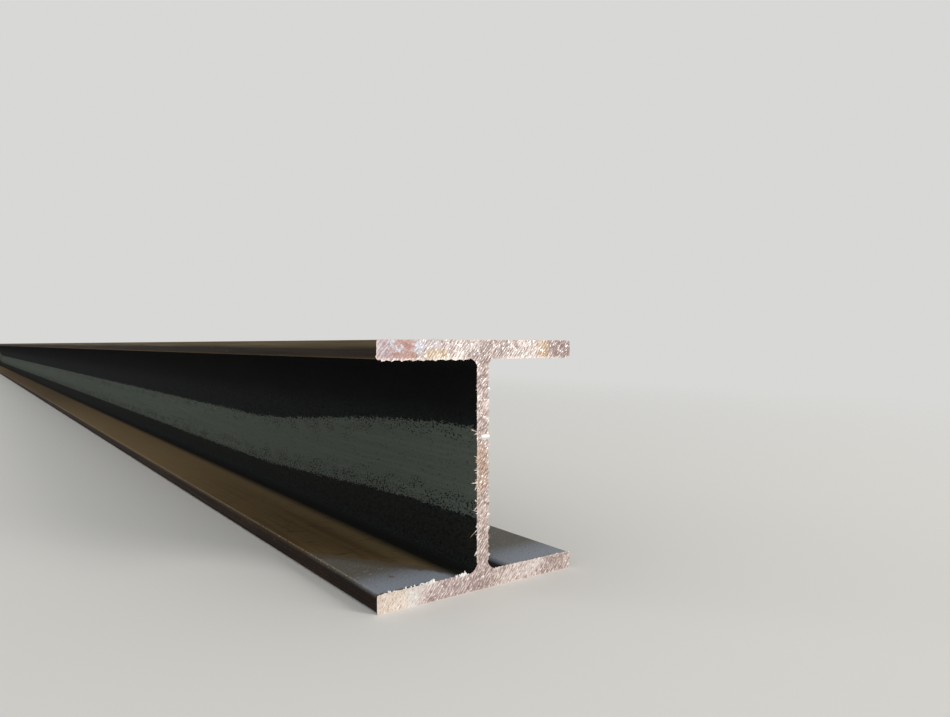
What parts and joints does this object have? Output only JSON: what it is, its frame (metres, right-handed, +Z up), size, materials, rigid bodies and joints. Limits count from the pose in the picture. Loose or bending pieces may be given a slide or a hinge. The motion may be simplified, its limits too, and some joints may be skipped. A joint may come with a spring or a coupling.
{
  "type": "steel i-beam",
  "caption": "Straight length of hot-rolled wide-flange steel beam: wide flat flanges joined by a thinner upright web, with square sawn ends, for building frames.",
  "frame": {"origin": "middle of the bottom flange's underside, on the surface that the beam lies on", "axes": "+Y along the beam's length, away from the sawn end that the picture shows; +X across the flanges; +Z up along the web"},
  "size_m": [0.1544, 6, 0.1618],
  "materials": {
    "rolled_steel": "blue-black mill scale with brown rust on flanges and toes; both ends bright bare steel with slanting saw marks"
  },
  "bodies": {
    "root": {"i_beam": "rolled_steel"}
  },
  "joints": []
}
